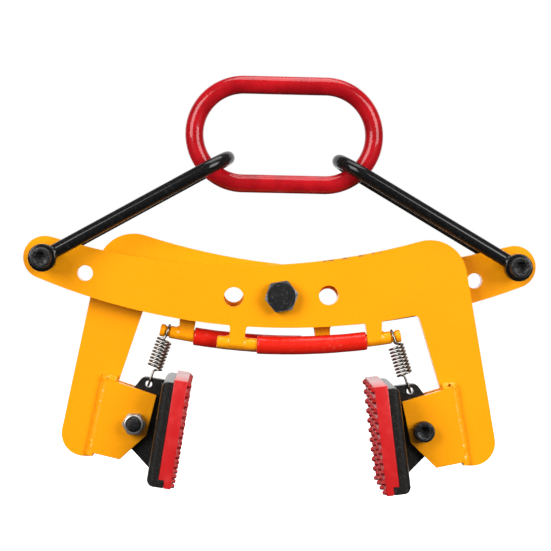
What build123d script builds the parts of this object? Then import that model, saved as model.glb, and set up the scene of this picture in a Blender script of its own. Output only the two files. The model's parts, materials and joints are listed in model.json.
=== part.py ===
from build123d import *
import math
import os

# Stone lifting clamp: two crossed arms on one pivot bolt, hung from a master link by two U-shaped links.
# Sizes are in millimetres. The clamp is drawn about its pivot, +X right, +Y back, +Z up, and then placed
# with its origin at the hook seat inside the top of the master link.

# Arm plates
plate_thick = 12.0
arm_gap = 5.0            # free space between the two arm plates
lever_reach = 205.0      # pivot to link bolt, sideways
saddle_x = -45.0         # lowest place of the beam's upper edge
saddle_z = 25.7
saddle_radius = 570.0
belly_x = -5.0           # lowest place of the beam's lower edge
belly_z = -27.6
belly_radius = 560.0
shoulder_x = 153.5       # corner of the shoulder before it is rounded
shoulder_round = 32.0
leg_out_lean = 11.0      # degrees
leg_in_x = 119.5         # inner corner of beam and leg
leg_in_lean = 17.8       # degrees
leg_in_round = 5.0
leg_end_z = -144.3
leg_end_round = 20.0
open_angle = 2.2         # each arm stands this much wider open than with its spare holes in line, degrees
spare_pivot_pitch = 41.2
spare_link_x = -170.0
spare_link_z = 16.4
spare_link_hole = 13.5

# Rest bar under each arm and the two tabs that hold it
bar_diameter = 11.0
bar_drop = 15.5          # beam's lower edge to the middle of the bar
bar_inner_x = -55.0
bar_outer_x = 105.0
tab_width = 12.0         # at the bar
tab_flare = 2.5          # how much wider a tab is at the beam, on its side towards the sleeve
tab_inner_x = -44.0      # straight side of the inner tab
tab_outer_x = 88.0       # straight side of the outer tab
tab_foot_round = 1.8
groove_inset = 6.5       # bar's outer end to the middle of the spring groove
groove_width = 4.2
groove_depth = 1.0
sleeve_diameter = 16.0
sleeve_length = 95.3
bar_chamfer = 0.8

# Cheek plates at the foot of each leg, points given from the pad bolt
cheek_thick = 6.0
cheek_nose = (-19.0, 24.7)
cheek_chin = (-10.8, -10.4)
cheek_toe = (12.0, -32.0)
cheek_heel_z = -26.6
cheek_top_z = 38.5
cheek_inset = 30.5       # leg's outer edge to the cheek's welded edge, sideways
weld_size = 5.0
weld_slope = 38.0        # degrees

# Pads
pad_bolt_x = 125.6
pad_bolt_z = -114.1
pad_tilt = 8.0           # degrees that the face looks down
pad_width = 104.0
pad_below = 46.6         # bolt to the pad's lower end
block_above = 46.7
backing_above = 44.0
backing_set = 19.3       # bolt to the back of the backing
backing_thick = 10.0
backing_round = 6.0
lip_depth = 5.0
lip_height = 6.7
block_thick = 11.5
stud_height = 3.0
stud_rows = 11
stud_row_pitch = 8.7
stud_low = 2.5           # middle of the lowest row above the pad's lower end
stud_columns = 4
stud_foot = (13.0, 6.8)  # across the pad and up its face
stud_tip = (5.0, 2.8)
rib_thick = 10.0
rib_top = 41.0
rib_boss = 13.0
rib_foot = -38.0
rib_round = 4.0
ear_round = 6.0          # corner of the rib round the spring's lug hole
lug_x = -6.8
lug_z = 35.2
lug_hole = 6.0

# Springs
wire_diameter = 2.1
coil_mean_radius = 6.2
coil_pitch = 3.0
coil_turns = 9
coil_lift = 1.2          # coil above the middle between its two hooks
hook_tail = 3.0

# Links
link_bar = 12.0
link_span = 50.0         # middle to middle of the two legs
link_length = 186.0      # bolt to the outside of the bend
link_hook = 0.23806      # middle of the clamp to a link's bend, part of lever_reach
link_eye = 24.0
link_eye_thick = 14.0
bush_diameter = 20.0

# Master link
ring_bar = 16.0
ring_width = 173.0       # outside
ring_height = 102.0      # outside

# Fasteners
pivot_size = 16.0
pivot_hole = 17.0
pivot_flats = 25.5
pivot_head = 10.0
pivot_head_turn = 10.7   # degrees that a corner of the head stands above level
pivot_nut_height = 16.0
pivot_washer = 30.0
pivot_washer_thick = 3.0
spacer_diameter = 36.0
cap_size = 12.0
cap_hole = 13.0
cap_head_diameter = 18.0
cap_head = 12.0
cap_socket_flats = 10.0
cap_socket_depth = 6.0
cap_nut_flats = 18.0
cap_nut_height = 12.0
nut_collar_share = 0.3   # part of a lock nut's height that is its round collar
bolt_end = 3.0           # bolt that stands out of its nut
head_chamfer = 1.2
head_circle = 0.93       # circle on top of a hexagon, part of its flats
crown_slope = 30.0       # degrees from the hexagon's top
end_chamfer = 1.2        # at the tip of a bolt

# Clearances
side_play = 0.15         # between faces that turn on each other
thread_fit = 0.05
snug_fit = 0.05
sleeve_play = 0.8        # end of a rest sleeve to the tab
link_play = 0.3          # master link to the links' bends
hook_play = 0.3          # spring hook to the bar's groove and to the lug hole
hook_side_play = 0.5     # spring hook to the faces of the rib

arm_y = -(plate_thick + arm_gap) / 2
plate_front = arm_y - plate_thick / 2
plate_back = arm_y + plate_thick / 2
bar_radius = bar_diameter / 2
link_angle = math.degrees(math.acos(lever_reach * (1 - link_hook) / (link_length - link_bar / 2)))
wire_radius = wire_diameter / 2
nodes = {}


# Helpers
def upper_edge(x):
    return saddle_z + saddle_radius - math.sqrt(saddle_radius**2 - (x - saddle_x) ** 2)


def lower_edge(x):
    return belly_z + belly_radius - math.sqrt(belly_radius**2 - (x - belly_x) ** 2)


def bar_line(x):
    bar_arc = belly_radius + bar_drop
    return belly_z + belly_radius - math.sqrt(bar_arc**2 - (x - belly_x) ** 2)


def slab(face, y_low, y_high):
    return extrude(Plane.XZ.offset(-y_high) * face, amount=y_high - y_low)


def bored(part, x, z, diameter):
    reach = 4 * (plate_thick + arm_gap + link_span)
    drill = Pos(x, 0, z) * Rot(90, 0, 0) * Cylinder(diameter / 2, reach)
    return part - drill


def corner(face, x, z):
    return face.vertices().sort_by_distance((x, z, 0))[0]


def turned(part):
    return Rot(0, 0, 180) * part


# The lever end is a circle that both edges of the beam run into
saddle_centre = Vector(saddle_x, saddle_z + saddle_radius)
belly_centre = Vector(belly_x, belly_z + belly_radius)


def lever_height():
    low = lower_edge(lever_x)
    high = upper_edge(lever_x)
    for _ in range(40):
        middle = (low + high) / 2
        eye = Vector(lever_x, middle)
        reach = (eye - saddle_centre).length + (eye - belly_centre).length
        if reach > saddle_radius + belly_radius:
            low = middle
        else:
            high = middle
    return low


lever_x = -lever_reach
lever_z = lever_height()
lever_round = (Vector(lever_x, lever_z) - saddle_centre).length - saddle_radius
lever_top = saddle_centre + (Vector(lever_x, lever_z) - saddle_centre).normalized() * saddle_radius
lever_foot = belly_centre + (Vector(lever_x, lever_z) - belly_centre).normalized() * belly_radius
shoulder_z = upper_edge(shoulder_x)
leg_in_z = lower_edge(leg_in_x)


def leg_outer(z):
    return shoulder_x + (shoulder_z - z) * math.tan(math.radians(leg_out_lean))


def leg_inner(z):
    return leg_in_x + (leg_in_z - z) * math.tan(math.radians(leg_in_lean))


# Arm plate
def arm_outline():
    mid_top = (lever_x + shoulder_x) / 2
    mid_low = (lever_x + leg_in_x) / 2
    edges = [
        ThreePointArc(lever_top, (mid_top, upper_edge(mid_top)), (shoulder_x, shoulder_z)),
        Line((shoulder_x, shoulder_z), (leg_outer(leg_end_z), leg_end_z)),
        Line((leg_outer(leg_end_z), leg_end_z), (leg_inner(leg_end_z), leg_end_z)),
        Line((leg_inner(leg_end_z), leg_end_z), (leg_in_x, leg_in_z)),
        ThreePointArc((leg_in_x, leg_in_z), (mid_low, lower_edge(mid_low)), lever_foot),
        ThreePointArc(lever_foot, (lever_x - lever_round, lever_z), lever_top),
    ]
    face = make_face(edges)
    face = fillet(corner(face, shoulder_x, shoulder_z), shoulder_round)
    face = fillet(corner(face, leg_outer(leg_end_z), leg_end_z), leg_end_round)
    return fillet(corner(face, leg_in_x, leg_in_z), leg_in_round)


def tab_outline(face, x, way):
    low = bar_line(x + way * tab_width / 2)
    flare_x = x + way * (tab_width + tab_flare)
    root = lower_edge(x) + bar_radius
    points = [
        (x, low),
        (x, root),
        (flare_x, root),
        (flare_x, lower_edge(flare_x)),
        (x + way * tab_width, low),
    ]
    face = face + make_face(Polyline(*points, close=True))
    for foot_x in (x, flare_x):
        face = fillet(corner(face, foot_x, lower_edge(foot_x)), tab_foot_round)
    return face


def bar_path(x_from, x_to):
    points = []
    for x in (x_from, (x_from + x_to) / 2, x_to):
        points.append((x, arm_y, bar_line(x)))
    return ThreePointArc(*points)


def along_bar(section, x_from, x_to):
    path = bar_path(x_from, x_to)
    start = Plane(origin=path @ 0, z_dir=path % 0)
    return sweep(start * section, path=path)


def arm_plate():
    face = arm_outline()
    tabs = ((tab_inner_x, 1), (tab_outer_x, -1))
    for x, way in tabs:
        face = tab_outline(face, x, way)
    plate = slab(face, plate_front, plate_back)
    for x, way in tabs:
        middle = x + way * tab_width / 2
        plate -= along_bar(Circle(bar_radius + snug_fit), middle - tab_width, middle + tab_width)
    tilt = math.radians(open_angle)
    for place in (-spare_pivot_pitch, 0.0, spare_pivot_pitch):
        plate = bored(plate, place * math.cos(tilt), place * math.sin(tilt), pivot_hole)
    plate = bored(plate, lever_x, lever_z, cap_hole)
    return bored(plate, spare_link_x, spare_link_z, spare_link_hole)


groove_x = bar_outer_x - groove_inset


def rest_bar():
    bar = along_bar(Circle(bar_radius), bar_inner_x, bar_outer_x)
    for end in (0, -1):
        bar = chamfer(bar.faces().sort_by(Axis.X)[end].edges(), bar_chamfer)
    ring = Circle(bar_radius + groove_depth) - Circle(bar_radius - groove_depth)
    return bar - along_bar(ring, groove_x - groove_width / 2, groove_x + groove_width / 2)


def rest_sleeve():
    wall = Circle(sleeve_diameter / 2) - Circle(bar_radius + snug_fit)
    outer_end = tab_outer_x - tab_width - sleeve_play
    return along_bar(wall, outer_end - sleeve_length, outer_end)


# Cheek plates and their welds
def cheek_outline():
    heel_z = pad_bolt_z + cheek_heel_z
    top_z = pad_bolt_z + cheek_top_z
    points = []
    for x, z in (cheek_nose, cheek_chin, cheek_toe):
        points.append((pad_bolt_x + x, pad_bolt_z + z))
    points.append((leg_outer(heel_z) - cheek_inset, heel_z))
    points.append((leg_outer(top_z) - cheek_inset, top_z))
    return make_face(Polyline(*points, close=True))


def cheek(outer):
    y_low = plate_front - cheek_thick if outer else plate_back
    return bored(slab(cheek_outline(), y_low, y_low + cheek_thick), pad_bolt_x, pad_bolt_z, cap_hole)


def cheek_weld(outer):
    skirt = offset(cheek_outline(), amount=weld_size)
    if outer:
        bead = extrude(Plane.XZ.offset(-plate_front) * skirt, amount=weld_size, taper=weld_slope)
        leg = slab(arm_outline(), plate_front - weld_size, plate_front)
    else:
        bead = extrude(Plane.XZ.offset(-plate_back) * skirt, amount=-weld_size, taper=weld_slope)
        leg = slab(arm_outline(), plate_back, plate_back + weld_size)
    bead = bead & leg
    plug = slab(cheek_outline(), plate_front - 2 * cheek_thick, plate_back + 2 * cheek_thick)
    return bead - plug


# Fasteners, each along +Y with its seat at y = 0
def prism(flats, height, y_low):
    hexagon = RegularPolygon(flats / 2, 6, major_radius=False)
    body = extrude(Plane.XZ.offset(-(y_low + height)) * hexagon, amount=height)
    return body


def rod(diameter, y_low, y_high):
    return slab(Circle(diameter / 2), y_low, y_high)


def crown(flats, height, y_top, way):
    top = head_circle * flats / 2
    foot = top + height / math.tan(math.radians(crown_slope))
    cone = Pos(0, 0, -height / 2) * Cone(foot, top, height)
    return Pos(0, y_top, 0) * Rot(-90 * way, 0, 0) * cone


def shank(diameter, y_low, y_high):
    bar = rod(diameter, y_low, y_high)
    return chamfer(bar.faces().sort_by(Axis.Y)[-1].edges(), end_chamfer)


def cap_bolt(length):
    head = rod(cap_head_diameter, -cap_head, 0)
    rim = head.faces().sort_by(Axis.Y)[0].edges()
    head = chamfer(rim, head_chamfer)
    head -= prism(cap_socket_flats, cap_socket_depth, -cap_head)
    return head + shank(cap_size, 0, length)


def lock_nut(flats, height, size):
    hexagon = height * (1 - nut_collar_share)
    nut = prism(flats, hexagon, 0) & crown(flats, hexagon, hexagon, 1)
    nut += rod(flats * head_circle, hexagon, height)
    return nut - rod(size + 2 * thread_fit, -1, height + 1)


def washer(diameter, hole, y_low, thick):
    return rod(diameter, y_low, y_low + thick) - rod(hole, y_low - 1, y_low + thick + 1)


def pivot_pieces():
    nut_seat = -plate_front + pivot_washer_thick + side_play
    tip = nut_seat + pivot_nut_height + bolt_end
    head = prism(pivot_flats, pivot_head, -pivot_head) & crown(pivot_flats, pivot_head, -pivot_head, -1)
    head = Pos(0, plate_front, 0) * Rot(0, -pivot_head_turn, 0) * head
    bolt = head + shank(pivot_size, plate_front, tip)
    nut = Pos(0, nut_seat, 0) * lock_nut(pivot_flats, pivot_nut_height, pivot_size)
    ring = washer(pivot_washer, pivot_hole, -plate_front + side_play, pivot_washer_thick)
    spacer = washer(spacer_diameter, pivot_hole, plate_back, arm_gap - side_play)
    return bolt, nut, ring, spacer


# Pad, drawn about its bolt with x away from the stone and z up its face
def on_pad(part):
    return Pos(pad_bolt_x, arm_y, pad_bolt_z) * Rot(0, -pad_tilt, 0) * part


face_x = -backing_set - backing_thick
lip_x = face_x - lip_depth
lip_top = lip_height - pad_below


def pad_backing():
    points = [
        (-backing_set, -pad_below),
        (-backing_set, backing_above),
        (face_x, backing_above),
        (face_x, lip_top),
        (lip_x, lip_top),
        (lip_x, -pad_below),
    ]
    plate = slab(make_face(Polyline(*points, close=True)), -pad_width / 2, pad_width / 2)
    rim = plate.faces().sort_by(Axis.X)[-1].edges()
    return on_pad(fillet(rim, backing_round))


# A stud is a four-sided pyramid with a flat tip, its corners pointing up, down and to the sides. Studs stand
# in straight rows and columns, the outer columns at the sides of the block and the lowest row cut off by its
# lower end
stud_column_pitch = (pad_width - stud_foot[0]) / (stud_columns - 1)


def diamond(across, along):
    half_y = across / 2
    half_z = along / 2
    return make_face(Polyline((-half_z, 0), (0, -half_y), (half_z, 0), (0, half_y), close=True))


def stud():
    return Rot(0, -90, 0) * loft([diamond(*stud_foot), Pos(0, 0, stud_height) * diamond(*stud_tip)])


def stud_places():
    places = []
    for row in range(stud_rows):
        z = stud_low - pad_below + row * stud_row_pitch
        for column in range(stud_columns):
            places.append(((column - (stud_columns - 1) / 2) * stud_column_pitch, z))
    return places


def pad_block():
    front = face_x - block_thick
    points = [
        (face_x, block_above),
        (front, block_above),
        (front, -pad_below),
        (lip_x - snug_fit, -pad_below),
        (lip_x - snug_fit, lip_top + snug_fit),
        (face_x, lip_top + snug_fit),
    ]
    block = slab(make_face(Polyline(*points, close=True)), -pad_width / 2, pad_width / 2)
    height = block_above + pad_below
    room = Pos(front, 0, block_above - height / 2) * Box(2 * stud_height, pad_width, height)
    studs = []
    for y, z in stud_places():
        studs.append((Pos(front, y, z) * stud()) & room)
    return on_pad(block + studs)


def pad_rib():
    points = [
        (-backing_set, rib_top),
        (lug_x + lug_hole, rib_top),
        (rib_boss * 0.6, 2 * rib_boss),
        (rib_boss, 0),
        (rib_boss * 0.3, -1.5 * rib_boss),
        (-backing_set, rib_foot),
    ]
    face = make_face(Polyline(*points, close=True))
    face = fillet(corner(face, *points[1]), ear_round)
    for x, z in points[2:5]:
        face = fillet(corner(face, x, z), rib_round)
    rib = slab(face, -rib_thick / 2, rib_thick / 2)
    rib = bored(rib, 0, 0, cap_hole)
    return on_pad(bored(rib, lug_x, lug_z, lug_hole))


def pad_fasteners():
    grip = plate_thick + 2 * cheek_thick
    seat = plate_front - cheek_thick
    bolt = cap_bolt(grip + cap_nut_height + bolt_end)
    nut = Pos(0, grip, 0) * lock_nut(cap_nut_flats, cap_nut_height, cap_size)
    place = Pos(pad_bolt_x, seat, pad_bolt_z)
    return place * bolt, place * nut


# Springs: one wire through the bar's groove, down the coil and through the lug
def lug_place():
    tilt = math.radians(pad_tilt)
    x = pad_bolt_x + lug_x * math.cos(tilt) - lug_z * math.sin(tilt)
    z = pad_bolt_z + lug_x * math.sin(tilt) + lug_z * math.cos(tilt)
    return Vector(x, arm_y, z)


def spring_line():
    low = lug_place()
    high = Vector(groove_x, arm_y, bar_line(groove_x))
    up = (high - low).normalized()
    back = Vector(0, 1, 0)
    side = back.cross(up)
    reach = (high - low).length
    hook = rib_thick / 2 + wire_radius + hook_side_play
    top_loop = reach + bar_radius - groove_depth + hook_play + wire_radius - hook
    low_loop = lug_hole / 2 - hook_play + math.sqrt((hook - wire_radius) ** 2 - (rib_thick / 2) ** 2)
    coil_length = coil_turns * coil_pitch
    coil_top = (top_loop + low_loop + coil_length) / 2 + coil_lift

    def at(x, y, s):
        return low + side * x + back * y + up * s

    def turn(angle):
        a = 2 * math.pi * angle
        rise = coil_pitch / (2 * math.pi)
        place = at(coil_mean_radius * math.sin(a), coil_mean_radius * math.cos(a), coil_top - rise * a)
        across = side * math.cos(a) - back * math.sin(a)
        heading = across * coil_mean_radius - up * rise
        return place, heading.normalized()

    r = coil_mean_radius
    ease = 1 / 8
    run = [
        (at(0, -hook, top_loop - hook_tail), up),
        (at(0, -hook, top_loop), up),
        (at(0, 0, top_loop + hook), back),
        (at(0, hook, top_loop), up * -1),
        (at(0, r, coil_top + r / 2), up * -1),
    ]
    quarters = int(4 * (coil_turns - 2 * ease))
    for quarter in range(quarters + 1):
        run.append(turn(ease + quarter / 4))
    run += [
        (at(0, r, coil_top - coil_length - r / 2), up * -1),
        (at(0, hook, low_loop), up * -1),
        (at(0, 0, low_loop - hook), back * -1),
        (at(0, -hook, low_loop), up),
        (at(0, -hook, low_loop + hook_tail), up),
    ]
    return run


def biarc(start, start_heading, end, end_heading):
    gap = end - start
    both = start_heading + end_heading
    spread = 2 * (1 - start_heading.dot(end_heading))
    along = gap.dot(both)
    if start_heading.cross(gap.normalized()).length < 1e-6 and spread < 1e-9:
        return [Edge.make_line(start, end)]
    if spread < 1e-9:
        reach = gap.dot(gap) / (2 * along)
    else:
        reach = (-along + math.sqrt(along**2 + spread * gap.dot(gap))) / spread
    meet = (start + start_heading * reach + end - end_heading * reach) * 0.5
    first = Edge.make_tangent_arc(start, start_heading, meet)
    second = Edge.make_tangent_arc(meet, first % 1, end)
    return [first, second]


def spring():
    run = spring_line()
    edges = []
    for (start, heading), (end, end_heading) in zip(run, run[1:]):
        edges += biarc(start, heading, end, end_heading)
    path = Wire(edges)
    section = Plane(origin=run[0][0], z_dir=run[0][1]) * Circle(wire_radius)
    return sweep(section, path=path), edges


def least_self_gap(edges):
    points = []
    travelled = 0.0
    for edge in edges:
        steps = max(2, int(edge.length / 0.4))
        for step in range(steps):
            points.append((travelled + edge.length * step / steps, edge @ (step / steps)))
        travelled += edge.length
    least = math.inf
    for index, (place, point) in enumerate(points):
        for other_place, other in points[index + 1:]:
            if other_place - place > 3 * wire_diameter:
                least = min(least, (other - point).length)
    return least - wire_diameter


# Links
def link_turn(side):
    return Rot(0, -link_angle if side < 0 else link_angle - 180, 0)


def link():
    bend_x = link_length - link_bar / 2 - link_span / 2
    body = None
    for y in (-link_span / 2, link_span / 2):
        leg = Pos(bend_x / 2, y, 0) * Rot(0, 90, 0) * Cylinder(link_bar / 2, bend_x)
        eye = rod(link_eye, y - link_eye_thick / 2, y + link_eye_thick / 2)
        body = leg + eye if body is None else body + leg + eye
    section = Plane(origin=(bend_x, -link_span / 2, 0), z_dir=(1, 0, 0)) * Circle(link_bar / 2)
    bend = revolve(section, axis=Axis((bend_x, 0, 0), (0, 0, 1)), revolution_arc=180)
    return bored(body + bend, 0, 0, cap_hole)


def link_pieces(side):
    y = arm_y if side < 0 else -arm_y
    place = Pos(side * lever_reach, y, lever_z)
    eye_in = link_span / 2 - link_eye_thick / 2
    eye_out = link_span / 2 + link_eye_thick / 2
    bolt = Pos(0, -eye_out, 0) * cap_bolt(2 * eye_out + cap_nut_height + bolt_end)
    nut = Pos(0, eye_out, 0) * lock_nut(cap_nut_flats, cap_nut_height, cap_size)
    bush_length = eye_in - plate_thick / 2 - 2 * side_play
    bushes = []
    for y_low in (-eye_in + side_play, plate_thick / 2 + side_play):
        bushes.append(place * washer(bush_diameter, cap_hole, y_low, bush_length))
    return place * link_turn(side) * link(), place * bolt, place * nut, bushes


# Master link, raised until it hangs in the links' bends
ring_arc = (ring_height - ring_bar) / 2
ring_straight = (ring_width - ring_height) / 2


def ring_points():
    points = []
    for step in range(181):
        a = math.radians(step - 90)
        points.append((ring_straight + ring_arc * math.cos(a), 0, ring_arc * math.sin(a)))
    for step in range(61):
        points.append((ring_straight * step / 60, 0, -ring_arc))
    return points


def bend_points():
    tilt = math.radians(link_angle)
    bend_x = link_length - link_bar / 2 - link_span / 2
    points = []
    for step in range(181):
        a = math.radians(step - 90)
        along = bend_x + link_span / 2 * math.cos(a)
        y = -arm_y + link_span / 2 * math.sin(a)
        points.append((lever_reach - along * math.cos(tilt), y, lever_z + along * math.sin(tilt)))
    return points


def ring_gap(height):
    ring = [(x, y, z + height) for x, y, z in ring_points()]
    least = math.inf
    for bend in bend_points():
        for point in ring:
            least = min(least, math.dist(bend, point))
    return least - (ring_bar + link_bar) / 2


def seated_height():
    reach = link_length - link_bar / 2
    high = lever_z + reach * math.sin(math.radians(link_angle)) + ring_arc
    low = high - ring_bar / 8
    while ring_gap(low) <= link_play:
        high = low
        low -= ring_bar / 8
    for _ in range(22):
        middle = (low + high) / 2
        if ring_gap(middle) > link_play:
            low = middle
        else:
            high = middle
    return low


def master_link(height):
    section = Plane(origin=(ring_straight, 0, -ring_arc), z_dir=(1, 0, 0)) * Circle(ring_bar / 2)
    end = revolve(section, axis=Axis((ring_straight, 0, 0), (0, -1, 0)), revolution_arc=180)
    body = end + turned(end)
    for z in (-ring_arc, ring_arc):
        body += Pos(0, 0, z) * Rot(0, 90, 0) * Cylinder(ring_bar / 2, 2 * ring_straight)
    return Pos(0, 0, height) * body


# The whole clamp
ring_z = seated_height()
nodes["master_link"] = master_link(ring_z)
for name, side in (("left", -1), ("right", 1)):
    bar, bolt, nut, bushes = link_pieces(side)
    nodes[name + "_link"] = bar
    nodes[name + "_link_bolt"] = bolt
    nodes[name + "_link_nut"] = nut
    nodes[name + "_link_bushes"] = Compound(children=bushes)

pivot_bolt, pivot_nut, pivot_ring, pivot_spacer = pivot_pieces()
nodes["pivot_bolt"] = pivot_bolt
nodes["pivot_nut"] = pivot_nut
nodes["pivot_washer"] = pivot_ring
nodes["pivot_spacer"] = pivot_spacer

pad_bolt, pad_nut = pad_fasteners()
coil, coil_edges = spring()
arm_nodes = {
    "arm_plate": arm_plate(),
    "arm_outer_cheek": cheek(True),
    "arm_inner_cheek": cheek(False),
    "arm_outer_weld": cheek_weld(True),
    "arm_inner_weld": cheek_weld(False),
    "rest_bar": rest_bar(),
    "rest_sleeve": rest_sleeve(),
}
pad_nodes = {
    "pad_backing": pad_backing(),
    "pad_rib": pad_rib(),
    "pad_block": pad_block(),
    "pad_bolt": pad_bolt,
    "pad_nut": pad_nut,
    "pad_spring": coil,
}
for name, solid in arm_nodes.items():
    nodes["front_" + name] = solid
    nodes["back_" + name] = turned(solid)
for name, solid in pad_nodes.items():
    nodes["right_" + name] = solid
    nodes["left_" + name] = turned(solid)

hook_seat_z = ring_z + ring_arc - ring_bar / 2
os.makedirs("parts", exist_ok=True)
for name, solid in nodes.items():
    export_step(Pos(0, 0, -hook_seat_z) * solid, os.path.join("parts", name + ".step"))

print("pieces", len(nodes))
print("master link middle above the pivot %.3f" % ring_z)
print("hook seat above the pivot %.3f" % hook_seat_z)
print("lever bolt height %.3f" % lever_z)
print("spring least gap to itself %.3f" % least_self_gap(coil_edges))
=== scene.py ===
import json
import math

import bmesh
import bpy
from mathutils import Matrix, Vector, noise


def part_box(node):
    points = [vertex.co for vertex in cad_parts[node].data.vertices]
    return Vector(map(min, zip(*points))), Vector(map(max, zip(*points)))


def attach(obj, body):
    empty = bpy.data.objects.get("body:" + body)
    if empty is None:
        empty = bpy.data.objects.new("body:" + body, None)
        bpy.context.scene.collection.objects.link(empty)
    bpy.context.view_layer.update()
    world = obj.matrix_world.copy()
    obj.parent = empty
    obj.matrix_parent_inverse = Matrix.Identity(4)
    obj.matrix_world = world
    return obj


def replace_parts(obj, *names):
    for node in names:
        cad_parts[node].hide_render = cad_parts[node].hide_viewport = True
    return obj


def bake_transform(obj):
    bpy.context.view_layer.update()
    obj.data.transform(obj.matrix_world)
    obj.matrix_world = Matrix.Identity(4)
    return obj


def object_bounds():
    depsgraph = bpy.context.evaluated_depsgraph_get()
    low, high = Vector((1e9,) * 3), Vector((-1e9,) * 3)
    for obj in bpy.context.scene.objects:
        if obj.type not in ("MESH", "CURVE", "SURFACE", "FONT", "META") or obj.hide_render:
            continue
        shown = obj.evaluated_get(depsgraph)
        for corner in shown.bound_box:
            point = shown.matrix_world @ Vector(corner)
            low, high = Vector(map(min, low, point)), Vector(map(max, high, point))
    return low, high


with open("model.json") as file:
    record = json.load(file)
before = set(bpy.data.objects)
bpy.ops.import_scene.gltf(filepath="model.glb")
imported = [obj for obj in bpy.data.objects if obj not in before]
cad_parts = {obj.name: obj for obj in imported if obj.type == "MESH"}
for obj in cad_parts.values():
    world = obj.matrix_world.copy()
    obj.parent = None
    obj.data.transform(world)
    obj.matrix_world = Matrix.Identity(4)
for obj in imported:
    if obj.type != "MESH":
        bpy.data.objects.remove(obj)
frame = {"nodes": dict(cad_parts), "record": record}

mm = 0.001
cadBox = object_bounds()
scene = bpy.context.scene
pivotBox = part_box("pivot_washer")
pivotHeight = (pivotBox[0].z + pivotBox[1].z) / 2
plateY = -8.5  # middle of the front arm's plate, in millimetres from the pivot
padBolt = {"x": 125.6, "z": -114.1, "tilt": 8.0}  # the right pad's bolt from the pivot, and the pad's tilt
halfTurn = Matrix.Rotation(math.pi, 4, "Z")  # takes the front arm to the back one and the right pad to the left one
print("clamp loaded", len(frame["nodes"]), "nodes, pivot at", round(pivotHeight, 4))


def fromPivot(x, y, z):  # millimetres from the pivot to metres in the shared frame
    return Vector((x * mm, y * mm, z * mm + pivotHeight))


# shader sums are written as plain arithmetic on these
class Sock:
    def __init__(self, tree, out):
        self.tree, self.out = tree, out

    def calc(self, operation, first, second):
        node = self.tree.nodes.new("ShaderNodeMath")
        node.operation = operation
        for slot, value in zip(node.inputs, (first, second)):
            plug(self.tree, slot, value)
        return Sock(self.tree, node.outputs[0])

    def __add__(self, other):
        return self.calc("ADD", self, other)

    def __sub__(self, other):
        return self.calc("SUBTRACT", self, other)

    def __rsub__(self, other):
        return self.calc("SUBTRACT", other, self)

    def __mul__(self, other):
        return self.calc("MULTIPLY", self, other)

    def __gt__(self, other):
        return self.calc("GREATER_THAN", self, other)

    __radd__ = __add__
    __rmul__ = __mul__


def plug(tree, slot, value):
    if isinstance(value, Sock):
        tree.links.new(value.out, slot)
    elif isinstance(value, tuple) and len(value) == 3 and slot.type == "RGBA":
        slot.default_value = (*value, 1.0)
    else:
        slot.default_value = value


class Finish:  # one material, its fixed values set on the shader's own sockets
    varied = {"colour": "Base Color", "roughness": "Roughness", "normal": "Normal", "metallic": "Metallic",
              "coat": "Coat Weight", "glow": "Emission Color"}

    def __init__(self, name, fixed):
        self.material = bpy.data.materials.new(name)
        self.material.use_nodes = True
        self.tree = self.material.node_tree
        self.shader = self.tree.nodes["Principled BSDF"]
        for socket, value in fixed.items():
            plug(self.tree, self.shader.inputs[socket], value)
        self.place = self.node("ShaderNodeTexCoord", out="Object")

    def node(self, kind, settings=None, sockets=None, out=0):
        made = self.tree.nodes.new(kind)
        for key, value in (settings or {}).items():
            setattr(made, key, value)
        for key, value in (sockets or {}).items():
            plug(self.tree, made.inputs[key], value)
        return Sock(self.tree, made.outputs[out])

    def cloud(self, size, detail=3.0, rough=0.55):  # a noise, size of its patches in millimetres
        return self.node("ShaderNodeTexNoise", None, {"Vector": self.place, "Scale": 1 / (size * mm),
                                                      "Detail": detail, "Roughness": rough})

    def lumps(self, coarse, fine=None, share=1.0):  # one noise, or two with the first one's share
        if fine is None:
            return self.cloud(*coarse)
        return self.cloud(*coarse) * share + self.cloud(*fine) * (1 - share)

    def uneven(self, least, added, *grain):
        return least + self.cloud(*grain) * added

    def step(self, value, low, high):
        return self.node("ShaderNodeMapRange", {"interpolation_type": "SMOOTHSTEP"},
                         {"Value": value, "From Min": low, "From Max": high})

    def patches(self, low, high, *grain):  # 0 where the noise is under low, 1 where it is over high
        return self.step(self.cloud(*grain), low, high)

    def edges(self, radius, low, high):  # 0 on the flat, towards 1 at an outside or inside edge
        rounded = self.node("ShaderNodeBevel", {"samples": 6}, {"Radius": radius * mm})
        flat = self.node("ShaderNodeNewGeometry", out="Normal")
        same = self.node("ShaderNodeVectorMath", {"operation": "DOT_PRODUCT"}, {0: rounded, 1: flat}, out="Value")
        return self.step(1 - same, low, high)

    def onMesh(self, name):  # a mask that the piece's own mesh carries
        return self.node("ShaderNodeAttribute", {"attribute_name": name}, out="Fac")

    def blend(self, share, first, second):
        return self.node("ShaderNodeMix", {"data_type": "RGBA"}, {0: share, 6: first, 7: second}, out=2)

    def bump(self, height, depth, strength):  # depth in millimetres
        return self.node("ShaderNodeBump", None, {"Height": height, "Strength": strength, "Distance": depth * mm})

    def relief(self, look):
        return self.bump(self.lumps(*look["lumps"]), *look["relief"])

    def wear(self, **inputs):  # links what varies over the surface
        for key, value in inputs.items():
            plug(self.tree, self.shader.inputs[self.varied[key]], value)
        return self.material

    def twoTone(self, look):  # two colours in patches, with uneven gloss and relief
        return self.wear(colour=self.blend(self.patches(*look["drift"]), look["colour"], look["second"]),
                         roughness=self.uneven(*look["rough"]), normal=self.relief(look))


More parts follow.
